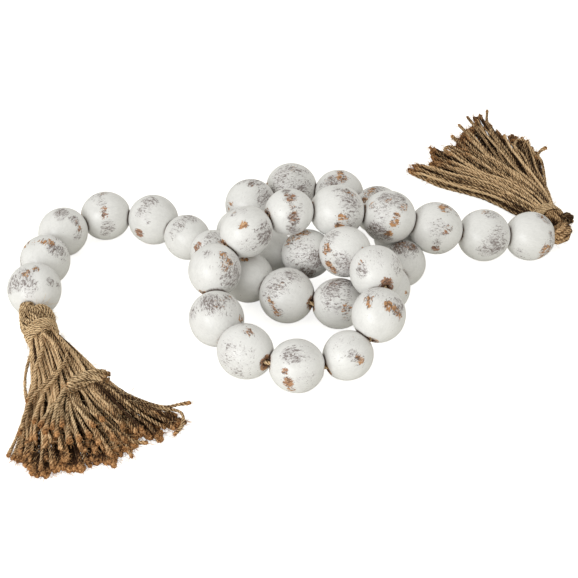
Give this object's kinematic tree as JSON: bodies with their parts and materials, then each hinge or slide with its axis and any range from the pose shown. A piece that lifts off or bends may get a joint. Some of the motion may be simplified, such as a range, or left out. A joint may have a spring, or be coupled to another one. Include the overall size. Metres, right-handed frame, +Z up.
{
  "type": "wood bead garland",
  "caption": "Garland of distressed white wooden beads on a jute string, with a bound jute tassel at each end, lying on a table in a loose coil.",
  "frame": {"origin": "centre of the footprint on the table that the garland lies on", "axes": "+Z up, +X from the left tassel's side to the right tassel's side, +Y away from the viewer of the picture"},
  "size_m": [0.4551, 0.4946, 0.0845],
  "materials": {
    "painted_wood": "off-white paint, satin, worn through to bare wood in patches",
    "jute_string": "twisted jute, matt",
    "jute_tassel": "twisted jute, matt and hairy",
    "jute_twine": "wound jute twine, matt"
  },
  "bodies": {
    "root": {"bead_01": "painted_wood", "bead_02": "painted_wood", "bead_03": "painted_wood", "bead_04": "painted_wood", "bead_05": "painted_wood", "bead_06": "painted_wood", "bead_07": "painted_wood", "bead_08": "painted_wood", "bead_09": "painted_wood", "bead_10": "painted_wood", "bead_11": "painted_wood", "bead_12": "painted_wood", "bead_13": "painted_wood", "bead_14": "painted_wood", "bead_15": "painted_wood", "bead_16": "painted_wood", "bead_17": "painted_wood", "bead_18": "painted_wood", "bead_19": "painted_wood", "bead_20": "painted_wood", "bead_21": "painted_wood", "bead_22": "painted_wood", "bead_23": "painted_wood", "bead_24": "painted_wood", "bead_25": "painted_wood", "bead_26": "painted_wood", "bead_27": "painted_wood", "bead_28": "painted_wood", "bead_29": "painted_wood", "bead_30": "painted_wood", "bead_31": "painted_wood", "bead_32": "painted_wood", "bead_33": "painted_wood", "bead_34": "painted_wood", "bead_35": "painted_wood", "string": "jute_string", "tassel_left": "jute_tassel", "tassel_right": "jute_tassel", "binding_left": "jute_twine", "binding_right": "jute_twine", "tail_left": "jute_tassel"}
  },
  "joints": []
}
